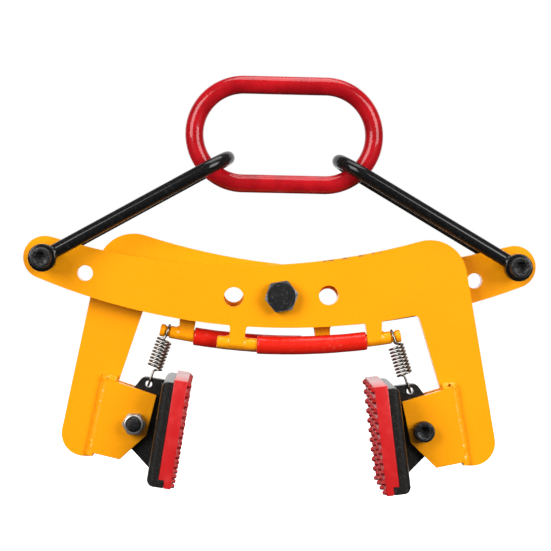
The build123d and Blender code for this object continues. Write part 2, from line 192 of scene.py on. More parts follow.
# finishes: a noise is the size of its patches, then its detail and roughness where these aren't the usual ones.
# Patches are two limits and a noise, rough is the least, what is added and a noise, edge is a width and two limits,
# lumps are one or two noises and the first one's share, and relief is the depth and strength of the bump.
def yellowPaint():
    look = {"colour": (0.975, 0.356, 0.003), "deep": (0.95, 0.325, 0.002), "drift": (0.35, 0.75, 60, 2),
            "deepShare": 0.35, "rough": (0.22, 0.1, 1.6, 4, 0.7), "lumps": ((1.3, 2), (6, 2), 0.6),
            "relief": (0.10, 0.35), "pitShade": (0.02, 0.008, 0.003), "pitShadeShare": 0.95}
    chips = {"colour": (0.14, 0.09, 0.05), "share": 0.85, "rough": 0.2, "deep": 0.8, "edge": (4.0, 0.01, 0.05),
             "flakes": ((3.5, 5, 0.7), (15, 2), 0.55), "least": 0.5, "place": (62.0, -14.5, 35.0),
             "reach": (24.0, 40.0)}  # one knocked place on the front beam's top edge
    paint = Finish("yellowPaint", {"Coat Weight": 0.35, "Coat Roughness": 0.08, "Specular IOR Level": 0.2})
    away = paint.node("ShaderNodeVectorMath", {"operation": "DISTANCE"},
                      {0: paint.place, 1: fromPivot(*chips["place"])}, out="Value")
    knocked = 1 - paint.step(away, chips["reach"][0] * mm, chips["reach"][1] * mm)
    flaked = paint.lumps(*chips["flakes"]) * knocked > chips["least"]
    chip = paint.edges(*chips["edge"]) * flaked
    shade = paint.blend(paint.patches(*look["drift"]) * look["deepShare"], look["colour"], look["deep"])
    hollow = paint.onMesh("hollow")  # 1 in the pit of a weld, where painted shade darkens the paint
    # painted shade: a near-black colour put in the weld's pit for the shade inside the hole
    shade = paint.blend(hollow * look["pitShadeShare"], shade, look["pitShade"])
    return paint.wear(colour=paint.blend(chip * chips["share"], shade, chips["colour"]),
                      roughness=paint.uneven(*look["rough"]) + chip * chips["rough"],
                      normal=paint.bump(paint.lumps(*look["lumps"]) - chip * chips["deep"], *look["relief"]))


def ringRed():
    look = {"colour": (0.43, 0.0055, 0.010), "second": (0.31, 0.003, 0.007), "drift": (0.35, 0.7, 18),
            "rough": (0.22, 0.16, 3), "lumps": ((9, 3, 0.5), (2.2,), 0.7), "relief": (0.35, 0.5)}
    return Finish("ringRed", {"Coat Weight": 0.45, "Coat Roughness": 0.06, "Specular IOR Level": 0.1}).twoTone(look)


def linkBlack():
    look = {"colour": (0.005, 0.005, 0.0055), "second": (0.018, 0.0175, 0.017), "drift": (0.5, 0.72, 2.5, 4, 0.65),
            "rough": (0.3, 0.2, 4, 4), "lumps": ((6,), (1.8,), 0.65), "relief": (0.4, 0.6)}
    return Finish("linkBlack", {"Coat Weight": 0.5, "Coat Roughness": 0.07, "Specular IOR Level": 0.05}).twoTone(look)


def sleeveRed():
    look = {"colour": (0.70, 0.013, 0.004), "worn": (0.72, 0.035, 0.02), "wear": (0.5, 0.8, 4, 4, 0.6),
            "scuff": (0.80, 0.22, 0.18), "scuffShare": 0.55, "scratches": (0.56, 0.72, 2, 5, 0.7),
            "scratched": (0.48, 0.62, 16, 2), "rough": (0.25, 0.12, 3), "lumps": ((5,), (1.5,), 0.6),
            "relief": (0.35, 0.5)}
    rubber = Finish("sleeveRed", {"Coat Weight": 0.2, "Coat Roughness": 0.22, "Specular IOR Level": 0.25})
    shade = rubber.blend(rubber.patches(*look["wear"]), look["colour"], look["worn"])
    scuff = rubber.patches(*look["scratches"]) * rubber.patches(*look["scratched"])
    return rubber.wear(colour=rubber.blend(scuff * look["scuffShare"], shade, look["scuff"]),
                       roughness=rubber.uneven(*look["rough"]), normal=rubber.relief(look))


def padRed():
    look = {"colour": (0.55, 0.010, 0.012), "pale": (0.62, 0.03, 0.03), "faded": (0.45, 0.8, 12, 4),
            "grip": (0.42, 0.006, 0.008), "gripShare": 0.6, "coat": 0.65, "gripCoat": 0.12,
            "rough": (0.34, 0.16, 2), "lumps": ((1.2,),), "relief": (0.12, 0.4)}
    rubber = Finish("padRed", {"Coat Roughness": 0.15, "Specular IOR Level": 0.2})
    grip = rubber.onMesh("grip")  # 1 on the stud face
    shade = rubber.blend(rubber.patches(*look["faded"]), look["colour"], look["pale"])
    return rubber.wear(colour=rubber.blend(grip * look["gripShare"], shade, look["grip"]),
                       coat=look["coat"] - grip * (look["coat"] - look["gripCoat"]),
                       roughness=rubber.uneven(*look["rough"]), normal=rubber.relief(look))


def backingBlack():
    look = {"colour": (0.007, 0.006, 0.0055), "speck": (0.05, 0.047, 0.044), "specks": (0.54, 0.7, 1.8, 4, 0.7),
            "worn": (0.11, 0.07, 0.05), "edge": (1.5, 0.03, 0.2), "wear": (0.45, 0.7, 3, 4, 0.65),
            "rough": (0.32, 0.2, 3, 4), "lumps": ((2.2, 4, 0.65),), "relief": (0.8, 0.8)}
    paint = Finish("backingBlack", {"Coat Weight": 0.45, "Coat Roughness": 0.12, "Specular IOR Level": 0.15})
    # partly edge wear and partly painted reflection: the brownish colour on the rounded edges stands for the yellow
    # arms reflected there
    rubAndSheen = paint.edges(*look["edge"]) * paint.patches(*look["wear"])
    shade = paint.blend(paint.patches(*look["specks"]), look["colour"], look["speck"])
    return paint.wear(colour=paint.blend(rubAndSheen, shade, look["worn"]), roughness=paint.uneven(*look["rough"]),
                      normal=paint.relief(look))


def blackOxide():
    look = {"colour": (0.005, 0.005, 0.006), "speck": (0.04, 0.04, 0.043), "specks": (0.5, 0.7, 2.6, 4, 0.7),
            "worn": (0.26, 0.26, 0.27), "edge": (1.1, 0.015, 0.1), "wear": (0.35, 0.65, 3.5, 4, 0.6),
            "marks": (0.42, 0.62, 7), "markShare": (0.12, 0.55), "metal": (0.35, 0.4), "rough": (0.34, 0.2),
            "grain": (1.3, 4, 0.65), "dimples": (4, 2), "relief": (0.3, 0.8)}
    steel = Finish("blackOxide", {"Specular IOR Level": 0.4})
    # partly wear and partly painted highlight: edges and the hex head's chamfer get a lighter bare-steel colour
    rubAndSheen = steel.edges(*look["edge"]) * steel.patches(*look["wear"])
    mark = steel.onMesh("rubbedAndSheen")  # 1 on a chamfer, worn by the spanner and lightened as a painted highlight
    rubAndSheen = rubAndSheen + (1 - rubAndSheen) * mark * (look["markShare"][0] + steel.patches(*look["marks"]) * look["markShare"][1])
    grain = steel.cloud(*look["grain"])
    shade = steel.blend(steel.patches(*look["specks"]), look["colour"], look["speck"])
    return steel.wear(colour=steel.blend(rubAndSheen, shade, look["worn"]),
                      metallic=look["metal"][0] + rubAndSheen * look["metal"][1],
                      roughness=look["rough"][0] + grain * look["rough"][1],
                      normal=steel.bump(grain + steel.cloud(*look["dimples"]), *look["relief"]))


def zincPlate():
    look = {"colour": (0.60, 0.59, 0.57), "second": (0.42, 0.41, 0.39), "drift": (0.4, 0.75, 3, 4),
            "rough": (0.2, 0.2, 2, 4), "lumps": ((0.8,),), "relief": (0.06, 0.35)}
    return Finish("zincPlate", {"Metallic": 0.88}).twoTone(look)


def springSteel():
    look = {"colour": (0.31, 0.29, 0.26), "second": (0.13, 0.11, 0.09), "drift": (0.42, 0.72, 2.5, 4),
            "rough": (0.18, 0.2, 1.5, 4), "lumps": ((0.6,),), "relief": (0.05, 0.3)}
    return Finish("springSteel", {"Metallic": 1.0}).twoTone(look)


finishes = {"yellow_paint": yellowPaint(), "ring_red": ringRed(), "link_black": linkBlack(),
            "sleeve_red": sleeveRed(), "pad_red": padRed(), "backing_black": backingBlack(),
            "black_oxide": blackOxide(), "zinc": zincPlate(), "spring_steel": springSteel()}
nodeSlot = {part["node"]: part["material_slot"] for part in frame["record"]["subparts"]}
nodeBody = {node: body for body, nodes in frame["record"]["behaviour"]["bodies"].items() for node in nodes}
for name, cadNode in frame["nodes"].items():
    cadNode.data.materials.clear()
    cadNode.data.materials.append(finishes[nodeSlot[name]])
print("finishes made", len(finishes))


# pieces
def asPiece(name, mesh, slot, sharpAngle=None):
    mesh.materials.clear()
    mesh.materials.append(finishes[slot])
    mesh.polygons.foreach_set("use_smooth", [True] * len(mesh.polygons))
    if sharpAngle:
        mesh.set_sharp_from_angle(angle=math.radians(sharpAngle))
    piece = bpy.data.objects.new(name, mesh)
    scene.collection.objects.link(piece)
    return piece


def standFor(piece, node):
    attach(piece, nodeBody[node])
    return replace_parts(piece, node)


# plates and small parts: the CAD shapes with their edges broken, widths in millimetres
broken = {"merge": 2e-6, "flat": 0.5, "sharp": 28, "steps": 2, "evenness": 80,
          "widths": {"arm_plate": 0.6, "arm_outer_cheek": 0.6, "arm_inner_cheek": 0.6, "rest_bar": 0.3,
                     "pad_backing": 0.8, "pad_rib": 0.7, "pivot_washer": 0.25, "pivot_spacer": 0.25,
                     "link_bushes": 0.3}}


def mergedCad(node):
    bm = bmesh.new()
    bm.from_mesh(frame["nodes"][node].data)
    bmesh.ops.remove_doubles(bm, verts=bm.verts, dist=broken["merge"])
    return bm


def toMesh(bm, name):
    mesh = bpy.data.meshes.new(name)
    bm.to_mesh(mesh)
    bm.free()
    if "custom_normal" in mesh.attributes:
        mesh.attributes.remove(mesh.attributes["custom_normal"])
    return mesh


def family(node):
    for lead in ("left_", "right_", "front_", "back_"):
        if node.startswith(lead):
            return node[len(lead):]
    return node


def softened(node, width):
    bm = mergedCad(node)
    flat, sharp = math.radians(broken["flat"]), math.radians(broken["sharp"])
    bmesh.ops.dissolve_limit(bm, angle_limit=flat, verts=bm.verts[:], edges=bm.edges[:])
    edges = [e for e in bm.edges if e.is_manifold and e.calc_face_angle() > sharp]
    bmesh.ops.bevel(bm, geom=edges, offset=width * mm, offset_type="OFFSET", segments=broken["steps"], profile=0.5,
                    affect="EDGES", clamp_overlap=True)
    piece = asPiece(node + "Soft", toMesh(bm, node), nodeSlot[node])
    piece.modifiers.new("even", "WEIGHTED_NORMAL").weight = broken["evenness"]
    return standFor(piece, node)


for name in frame["nodes"]:
    if family(name) in broken["widths"]:
        softened(name, broken["widths"][family(name)])
print("edges softened")


# forged bars: the links' eyes run into their legs without a crease
forged = {"voxel": 0.8, "ease": 0.5, "rounds": 10}
for side in ("left", "right"):
    mesh = toMesh(mergedCad(side + "_link"), side + "_link")
    piece = asPiece(side + "LinkForged", mesh, "link_black")
    grain = piece.modifiers.new("grain", "REMESH")
    grain.mode, grain.voxel_size, grain.use_smooth_shade = "VOXEL", forged["voxel"] * mm, True
    ease = piece.modifiers.new("ease", "SMOOTH")
    ease.factor, ease.iterations = forged["ease"], forged["rounds"]
    mesh = bpy.data.meshes.new_from_object(piece.evaluated_get(bpy.context.evaluated_depsgraph_get()))
    bpy.data.objects.remove(piece)
    standFor(asPiece(side + "LinkForged", mesh, "link_black"), side + "_link")
print("links forged")


# a round bar or wire swept along a line of points, with its own thickness at each
def treeInput(tree, name, kind, value=None):
    made = tree.interface.new_socket(name, in_out="INPUT", socket_type=kind)
    if value is not None:
        made.default_value = value


def barTree():
    tree = bpy.data.node_groups.new("sweptBar", "GeometryNodeTree")
    treeInput(tree, "Geometry", "NodeSocketGeometry")
    treeInput(tree, "Sides", "NodeSocketInt", 24)
    treeInput(tree, "Finish", "NodeSocketMaterial")
    tree.interface.new_socket("Geometry", in_out="OUTPUT", socket_type="NodeSocketGeometry")
    add, link = tree.nodes.new, tree.links.new
    start, end = add("NodeGroupInput"), add("NodeGroupOutput")
    line, thick = add("GeometryNodeMeshToCurve"), add("GeometryNodeSetCurveRadius")
    swell = add("GeometryNodeInputNamedAttribute")
    swell.data_type = "FLOAT"
    swell.inputs["Name"].default_value = "swell"
    section, sweep = add("GeometryNodeCurvePrimitiveCircle"), add("GeometryNodeCurveToMesh")
    section.inputs["Radius"].default_value = 1.0
    sweep.inputs["Fill Caps"].default_value = True
    whole, paint = add("GeometryNodeRealizeInstances"), add("GeometryNodeSetMaterial")
    link(start.outputs["Geometry"], line.inputs["Mesh"])
    link(line.outputs["Curve"], thick.inputs["Curve"])
    link(swell.outputs["Attribute"], thick.inputs["Radius"])
    link(start.outputs["Sides"], section.inputs["Resolution"])
    link(thick.outputs["Curve"], sweep.inputs["Curve"])
    link(section.outputs["Curve"], sweep.inputs["Profile Curve"])
    if "Scale" in sweep.inputs:
        link(swell.outputs["Attribute"], sweep.inputs["Scale"])
    link(sweep.outputs["Mesh"], whole.inputs["Geometry"])
    link(whole.outputs["Geometry"], paint.inputs["Geometry"])
    link(start.outputs["Finish"], paint.inputs["Material"])
    link(paint.outputs["Geometry"], end.inputs["Geometry"])
    return tree


sweptBar = barTree()


def runTree(name, mesh, tree, settings):
    host = bpy.data.objects.new(name, mesh)
    scene.collection.objects.link(host)
    maker = host.modifiers.new("maker", "NODES")
    maker.node_group = tree
    for item in tree.interface.items_tree:
        if item.item_type == "SOCKET" and item.in_out == "INPUT" and item.name in settings:
            maker[item.identifier] = settings[item.name]
    host.update_tag()
    bpy.context.view_layer.update()
    made = bpy.data.meshes.new_from_object(host.evaluated_get(bpy.context.evaluated_depsgraph_get()))
    bpy.data.objects.remove(host)
    return made


def sweptPiece(name, points, radii, slot, sides, closed=False):
    line = bpy.data.meshes.new(name)
    count = len(points)
    edges = [(i, (i + 1) % count) for i in range(count if closed else count - 1)]
    line.from_pydata([tuple(p) for p in points], edges, [])
    line.attributes.new("swell", "FLOAT", "POINT").data.foreach_set("value", radii)
    mesh = runTree(name, line, sweptBar, {"Sides": sides, "Finish": finishes[slot]})
    bm = bmesh.new()
    bm.from_mesh(mesh)
    bmesh.ops.recalc_face_normals(bm, faces=bm.faces)
    bm.to_mesh(mesh)
    bm.free()
    return asPiece(name, mesh, slot, sharpAngle=50)


# master link: round bar bent to an oblong, its thickness a little uneven
ring = {"bar": 16.0, "steps": 320, "sides": 40, "lump": 0.12, "lumpsPerMetre": 60}
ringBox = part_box("master_link")


def ringLine():  # from the left end of the lower bar, to the right and round
    half = ring["bar"] * mm / 2
    middle = (ringBox[0] + ringBox[1]) / 2
    arc = (ringBox[1].z - ringBox[0].z) / 2 - half
    straight = (ringBox[1].x - ringBox[0].x) / 2 - half - arc
    run, bend = 2 * straight, math.pi * arc
    points, radii = [], []
    for i in range(ring["steps"]):
        s = (2 * run + 2 * bend) * i / ring["steps"]
        if s < run:
            x, z = s - straight, -arc
        elif s < run + bend:
            a = (s - run) / arc - math.pi / 2
            x, z = straight + arc * math.cos(a), arc * math.sin(a)
        elif s < 2 * run + bend:
            x, z = straight - (s - run - bend), arc
        else:
            a = (s - 2 * run - bend) / arc + math.pi / 2
            x, z = -straight + arc * math.cos(a), arc * math.sin(a)
        point = middle + Vector((x, 0, z))
        dent = ring["lump"] * (0.5 + 0.5 * noise.noise(point * ring["lumpsPerMetre"]))
        points.append(point)
        radii.append((ring["bar"] / 2 - dent) * mm)
    return points, radii


standFor(sweptPiece("masterLinkBar", *ringLine(), "ring_red", ring["sides"], True), "master_link")
print("master link made")


# rest bars' sleeves: red tube pushed over the bar, a little dented
rest = {"bellyX": -5.0, "bellyZ": -27.6, "bellyRadius": 560.0, "drop": 15.5}  # the beam's belly, and the bar under it
tube = {"radius": 8.0, "steps": 110, "sides": 36, "shortLow": 0.2, "shortHigh": 1.1, "lip": 1.0, "lipDrop": 0.9,
        "dent": 0.2, "dentsPerMetre": 90}


def barHeight(x):
    reach = rest["bellyRadius"] + rest["drop"]
    return rest["bellyZ"] + rest["bellyRadius"] - math.sqrt(reach ** 2 - (x - rest["bellyX"]) ** 2)


def sleeve(node, turn):
    low, high = (v.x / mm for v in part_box(node))
    if turn:
        low, high = -high, -low
    low, high = low + tube["shortLow"], high - tube["shortHigh"]
    points, radii = [], []
    for i in range(tube["steps"] + 1):
        x = low + (high - low) * i / tube["steps"]
        point = fromPivot(x, plateY, barHeight(x))
        if turn:
            point = halfTurn @ point
        end = min(i, tube["steps"] - i) / tube["steps"] * (high - low)  # way to the nearer end
        lip = min(1.0, end / tube["lip"])
        drop = tube["lipDrop"] * (1 - math.sqrt(1 - (1 - lip) ** 2))
        dent = tube["dent"] * abs(noise.noise(point * tube["dentsPerMetre"]))
        points.append(point)
        radii.append((tube["radius"] - drop - dent) * mm)
    return sweptPiece(node + "Tube", points, radii, "sleeve_red", tube["sides"])


for arm in ("front", "back"):
    standFor(sleeve(arm + "_rest_sleeve", arm == "back"), arm + "_rest_sleeve")
print("sleeves made")


# extension springs: hook over the bar's groove, nine turns, hook through the pad's lug
coil = {"wire": 2.1, "sides": 12, "radius": 6.2, "pitch": 3.0, "turns": 9, "lift": 1.2, "grooveX": 98.5,
        "lugX": -6.8, "lugZ": 35.2, "hook": 6.55, "tail": 3.0, "lug": 6.0, "play": 0.3, "bar": 4.5, "rib": 10.0,
        "ease": 1 / 8, "pull": 7, "hookSteps": 24, "neckSteps": 4, "bendSteps": 8, "coilSteps": 324}


def hermite(a, da, b, db, count):
    run = []
    for i in range(1, count + 1):
        t = i / count
        run.append(a * (2 * t**3 - 3 * t**2 + 1) + da * (t**3 - 2 * t**2 + t)
                   + b * (3 * t**2 - 2 * t**3) + db * (t**3 - t**2))
    return run


def springLine():
    tilt = math.radians(padBolt["tilt"])
    low = Vector((padBolt["x"] + coil["lugX"] * math.cos(tilt) - coil["lugZ"] * math.sin(tilt), plateY,
                  padBolt["z"] + coil["lugX"] * math.sin(tilt) + coil["lugZ"] * math.cos(tilt)))
    high = Vector((coil["grooveX"], plateY, barHeight(coil["grooveX"])))
    up, back = (high - low).normalized(), Vector((0, 1, 0))
    side = back.cross(up)
    wire, hook, r = coil["wire"] / 2, coil["hook"], coil["radius"]
    topLoop = (high - low).length + coil["bar"] + coil["play"] + wire - hook
    lowLoop = coil["lug"] / 2 - coil["play"] + math.sqrt((hook - wire) ** 2 - (coil["rib"] / 2) ** 2)
    length = coil["turns"] * coil["pitch"]
    coilTop = (topLoop + lowLoop + length) / 2 + coil["lift"]
    knee, heel = coilTop + r / 2, coilTop - length - r / 2
    first, last = coil["ease"], coil["turns"] - coil["ease"]

    def at(x, y, s):
        return low + side * x + back * y + up * s

    def turn(t):
        a = 2 * math.pi * t
        return at(r * math.sin(a), r * math.cos(a), coilTop - coil["pitch"] * t)

    def heading(t):
        return (turn(t + 0.001) - turn(t - 0.001)).normalized() * coil["pull"]

    arc = [math.pi * i / coil["hookSteps"] for i in range(coil["hookSteps"] + 1)]
    run = [at(0, -hook, topLoop - coil["tail"])]
    run += [at(0, -hook * math.cos(a), topLoop + hook * math.sin(a)) for a in arc]
    drop = up * (knee - topLoop)
    run += hermite(at(0, hook, topLoop), drop, at(0, r, knee), drop, coil["neckSteps"])
    run += hermite(at(0, r, knee), up * -coil["pull"], turn(first), heading(first), coil["bendSteps"])
    for i in range(1, coil["coilSteps"] + 1):
        run.append(turn(first + (last - first) * i / coil["coilSteps"]))
    run += hermite(turn(last), heading(last), at(0, r, heel), up * -coil["pull"], coil["bendSteps"])
    drop = up * (lowLoop - heel)
    run += hermite(at(0, r, heel), drop, at(0, hook, lowLoop), drop, coil["neckSteps"])
    run += [at(0, hook * math.cos(a), lowLoop - hook * math.sin(a)) for a in arc[1:]]
    run.append(at(0, -hook, lowLoop + coil["tail"]))
    return [fromPivot(*p) for p in run], fromPivot(*high), fromPivot(*low)


for side, arm in (("right", "front_arm"), ("left", "back_arm")):
    line, top, bottom = springLine()
    if side == "left":
        line, top, bottom = [halfTurn @ p for p in line], halfTurn @ top, halfTurn @ bottom
    radii = [coil["wire"] / 2 * mm] * len(line)
    piece = sweptPiece(side + "PadSpring", line, radii, "spring_steel", coil["sides"])
    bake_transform(piece)
    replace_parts(piece, side + "_pad_spring")
print("springs made")


# pad blocks: a moulded slab with rows of four-sided studs on its face
pad = {"width": 104.0, "below": 46.6, "above": 46.7, "faceX": -29.3, "lipX": -34.3, "lipTop": -39.9, "gap": 0.05,
       "thick": 11.5, "round": 0.6, "roundSteps": 3, "gripDeep": 0.1, "rows": 11, "rowPitch": 8.7, "low": 2.5,
       "columns": 4, "height": 3.0, "studWide": 13.0, "studTall": 6.8, "tip": 0.4}


def studTree():
    tree = bpy.data.node_groups.new("studField", "GeometryNodeTree")
    treeInput(tree, "Geometry", "NodeSocketGeometry")
    for name, value in (("Across", 6.5), ("Along", 3.4), ("Height", 3.0), ("Tip", 0.4), ("Limit", 46.6)):
        treeInput(tree, name, "NodeSocketFloat", value)
    treeInput(tree, "Finish", "NodeSocketMaterial")
    tree.interface.new_socket("Geometry", in_out="OUTPUT", socket_type="NodeSocketGeometry")
    add, link = tree.nodes.new, tree.links.new
    start, end = add("NodeGroupInput"), add("NodeGroupOutput")
    stud, size, scatter = add("GeometryNodeMeshCone"), add("ShaderNodeCombineXYZ"), add("GeometryNodeInstanceOnPoints")
    stud.fill_type = "NGON"
    stud.inputs["Vertices"].default_value = 4
    stud.inputs["Radius Bottom"].default_value = 1.0
    size.inputs["Z"].default_value = 1.0
    link(start.outputs["Tip"], stud.inputs["Radius Top"])
    link(start.outputs["Height"], stud.inputs["Depth"])
    link(start.outputs["Across"], size.inputs["X"])
    link(start.outputs["Along"], size.inputs["Y"])
    link(start.outputs["Geometry"], scatter.inputs["Points"])
    link(stud.outputs["Mesh"], scatter.inputs["Instance"])
    link(size.outputs["Vector"], scatter.inputs["Scale"])
    whole, trim = add("GeometryNodeRealizeInstances"), add("GeometryNodeSetPosition")  # trimmed at the block's ends
    place, parts, again = add("GeometryNodeInputPosition"), add("ShaderNodeSeparateXYZ"), add("ShaderNodeCombineXYZ")
    lower, upper, negative = add("ShaderNodeMath"), add("ShaderNodeMath"), add("ShaderNodeMath")
    lower.operation, upper.operation, negative.operation = "MAXIMUM", "MINIMUM", "MULTIPLY"
    negative.inputs[1].default_value = -1.0
    link(start.outputs["Limit"], negative.inputs[0])
    link(place.outputs["Position"], parts.inputs["Vector"])
    link(parts.outputs["Y"], lower.inputs[0])
    link(negative.outputs[0], lower.inputs[1])
    link(lower.outputs[0], upper.inputs[0])
    link(start.outputs["Limit"], upper.inputs[1])
    link(parts.outputs["X"], again.inputs["X"])
    link(upper.outputs[0], again.inputs["Y"])
    link(parts.outputs["Z"], again.inputs["Z"])
    link(scatter.outputs["Instances"], whole.inputs["Geometry"])
    link(whole.outputs["Geometry"], trim.inputs["Geometry"])
    link(again.outputs["Vector"], trim.inputs["Position"])
    paint = add("GeometryNodeSetMaterial")
    link(trim.outputs["Geometry"], paint.inputs["Geometry"])
    link(start.outputs["Finish"], paint.inputs["Material"])
    link(paint.outputs["Geometry"], end.inputs["Geometry"])
    return tree


studField = studTree()


def onPad(side):  # pad's own axes (x away from the stone, z up its face) to the shared frame
    lean = Matrix.Rotation(math.radians(-padBolt["tilt"]), 4, "Y")
    place = Matrix.Translation(fromPivot(padBolt["x"], plateY, padBolt["z"])) @ lean
    return (halfTurn @ place if side == "left" else place) @ Matrix.Scale(mm, 4)


def padBlock(side):
    front, tall = pad["faceX"] - pad["thick"], pad["above"] + pad["below"]
    lipX, lipTop = pad["lipX"] - pad["gap"], pad["lipTop"] + pad["gap"]
    outline = [(pad["faceX"], pad["above"]), (front, pad["above"]), (front, -pad["below"]), (lipX, -pad["below"]),
               (lipX, lipTop), (pad["faceX"], lipTop)]
    bm = bmesh.new()
    near = [bm.verts.new((x, -pad["width"] / 2, z)) for x, z in outline]
    far = [bm.verts.new((x, pad["width"] / 2, z)) for x, z in outline]
    bm.faces.new(near)
    bm.faces.new(far[::-1])
    for i in range(len(outline)):
        j = (i + 1) % len(outline)
        bm.faces.new((near[j], near[i], far[i], far[j]))
    bmesh.ops.recalc_face_normals(bm, faces=bm.faces)
    bmesh.ops.bevel(bm, geom=bm.edges[:], offset=pad["round"], segments=pad["roundSteps"], profile=0.5,
                    affect="EDGES", clamp_overlap=True)
    pitch = (pad["width"] - pad["studWide"]) / (pad["columns"] - 1)
    points = []
    for row in range(pad["rows"]):
        up = pad["low"] + row * pad["rowPitch"] - tall / 2
        for column in range(pad["columns"]):
            points.append(((column - (pad["columns"] - 1) / 2) * pitch, up, 0))
    cloud = bpy.data.meshes.new("studPoints")
    cloud.from_pydata(points, [], [])
    studs = runTree(side + "Studs", cloud, studField, {
        "Across": pad["studWide"] / 2, "Along": pad["studTall"] / 2, "Height": pad["height"], "Tip": pad["tip"],
        "Limit": tall / 2 - pad["round"] / 2, "Finish": finishes["pad_red"]})
    middle = (pad["above"] - pad["below"]) / 2
    studs.transform(Matrix(((0, 0, -1, front), (1, 0, 0, 0), (0, 1, 0, middle), (0, 0, 0, 1))))  # out of the face
    bm.from_mesh(studs)
    bmesh.ops.recalc_face_normals(bm, faces=bm.faces)
    grip = bm.faces.layers.float.new("grip")
    for face in bm.faces:
        face[grip] = float(face.calc_center_median().x < front + pad["gripDeep"])
    bm.transform(onPad(side))
    return asPiece(side + "PadBlock", toMesh(bm, side + "PadBlock"), "pad_red", sharpAngle=25)


for side in ("left", "right"):
    standFor(padBlock(side), side + "_pad_block")
print("pad blocks made")


# fasteners: loops of points about a bolt's line, each loop's radius and place along it free to vary round it.
# A crown, skirt, pocket or ring is a row of pairs: in or out from that part's radius, then down or up from its end.
thread = {"perTurn": 6, "deep": 0.5, "root": 0.85, "start": 0.1, "stop": 1.2, "end": 0.1, "chamfer": 0.3}
cap = {"size": 12.0, "across": 18.0, "head": 12.0, "socket": 10.0, "deep": 6.0, "drill": 1.6, "mouth": (6.2, 0.6),
       "crown": ((1.5, 0.0), (0.6, 0.25), (0.2, 0.8)), "knurl": 0.22, "knurled": (1.4, 1.2), "around": 144,
       "skirt": ((0.3, 0.7), (0.3, 0.15), (0.45, 0.0)), "threaded": 16.0, "pitch": 1.75, "point": 1.3,
       "flats": 18.0, "nut": 12.0}
hinge = {"size": 16.0, "flats": 25.5, "head": 10.0, "turn": 10.7, "circle": 0.955, "slope": 23.0, "under": 0.4,
         "face": ((0.0, 0.0, 0.05), (0.5, 0.0, 0.03), (1.0, 0.6, 0.0), (1.0, 0.0, 0.06)), "rubbedAndSheen": 1.5,
         "around": 144, "threaded": 21.0, "pitch": 2.0, "point": 1.5, "nut": 16.0}
lock = {"play": 0.05, "mouth": 0.6, "hexShare": 0.7, "circle": 0.975, "slope": 9.0, "trim": 0.955, "collar": 0.99,
        "step": 0.25, "crown": ((0.0, 1.4), (0.12, 0.8), (0.45, 0.3), (0.95, 0.04), (1.3, 0.0)), "lip": 0.5,
        "pocket": ((0.15, 0.1), (0.0, 0.4), (0.0, 1.8)), "around": 96}
insert = {"ring": ((-0.2, 1.7), (0.48, 1.7), (0.48, 0.9), (0.23, 0.65), (0.0, 0.7), (-0.2, 1.0)), "around": 72}


def hexRadius(flats, turn=0.0, trim=0.985):
    def radius(angle):
        off = (angle - math.radians(turn)) % (math.pi / 3) - math.pi / 6
        return min(flats / 2 / math.cos(off), flats / math.sqrt(3) * trim)
    return radius


def crownAt(side, circle, top, way, slope):  # the bevelled corners of a hexagon, outside a circle on its face
    def along(angle):
        return top - way * max(0.0, side(angle) - circle) * math.tan(math.radians(slope))
    return along


def shankRows(bolt, length):  # plain shank, thread and chamfered end
    r, plain = bolt["size"] / 2, length - bolt["threaded"]
    start, end = plain + thread["start"], length - thread["stop"]
    count = int((end - start) / (bolt["pitch"] / thread["perTurn"]))
    rows = [(r, 0), (r, plain)]
    for i in range(count + 1):
        along = start + (end - start) * i / count

        def radius(angle, along=along):
            phase = (along / bolt["pitch"] - angle / (2 * math.pi)) % 1.0
            return r - thread["deep"] * bolt["pitch"] * min(1 - abs(2 * phase - 1), thread["root"])
        rows.append((radius, along))
    point = r - bolt["point"]
    return rows + [(point, length - thread["end"]), (point - thread["chamfer"], length), (0, length)]


def turned(rows, segments, joined=False):
    bm = bmesh.new()
    loops = []
    for radius, along in rows:
        loops.append([])
        for k in range(1 if radius == 0 else segments):
            a = 2 * math.pi * k / segments
            r = radius(a) if callable(radius) else radius
            y = along(a) if callable(along) else along
            loops[-1].append(bm.verts.new((r * math.cos(a), y, r * math.sin(a))))
    for low, high in list(zip(loops, loops[1:])) + ([(loops[-1], loops[0])] if joined else []):
        for k in range(segments):
            j = (k + 1) % segments
            corners = (low[k % len(low)], low[j % len(low)], high[j % len(high)], high[k % len(high)])
            bm.faces.new(list(dict.fromkeys(corners)))
    bmesh.ops.recalc_face_normals(bm, faces=bm.faces)
    return bm


def capBolt(length):
    r, top = cap["across"] / 2, -cap["head"]
    socket = hexRadius(cap["socket"])

    def knurl(angle):
        return r - cap["knurl"] * (round(angle / (2 * math.pi) * cap["around"]) % 2)

    rows = [(0, top + cap["deep"] + cap["drill"]), (socket, top + cap["deep"]), (socket, top + cap["mouth"][1]),
            (cap["mouth"][0], top)]
    rows += [(r - inset, top + drop) for inset, drop in cap["crown"]]
    rows += [(knurl, top + cap["knurled"][0]), (knurl, -cap["knurled"][1])]
    rows += [(r - inset, -rise) for inset, rise in cap["skirt"]]
    return turned(rows + shankRows(cap, length), cap["around"])


def hingeBolt(length):
    side, top = hexRadius(hinge["flats"], hinge["turn"]), -hinge["head"]
    circle = hinge["flats"] * hinge["circle"] / 2

    def under(angle):
        return side(angle) - hinge["under"]

    rows = [(circle * share - inset, top + drop) for share, inset, drop in hinge["face"]]
    rows += [(side, crownAt(side, circle, top, -1, hinge["slope"])), (side, -hinge["under"]), (under, 0)]
    bm = turned(rows + shankRows(hinge, length), hinge["around"])
    # the chamfer band that the finish lightens, partly spanner wear and partly painted highlight
    mark = bm.faces.layers.float.new("rubbedAndSheen")
    for face in bm.faces:
        spot = face.calc_center_median()
        face[mark] = float(math.hypot(spot.x, spot.z) > circle and spot.y < top + hinge["rubbedAndSheen"])
    return bm


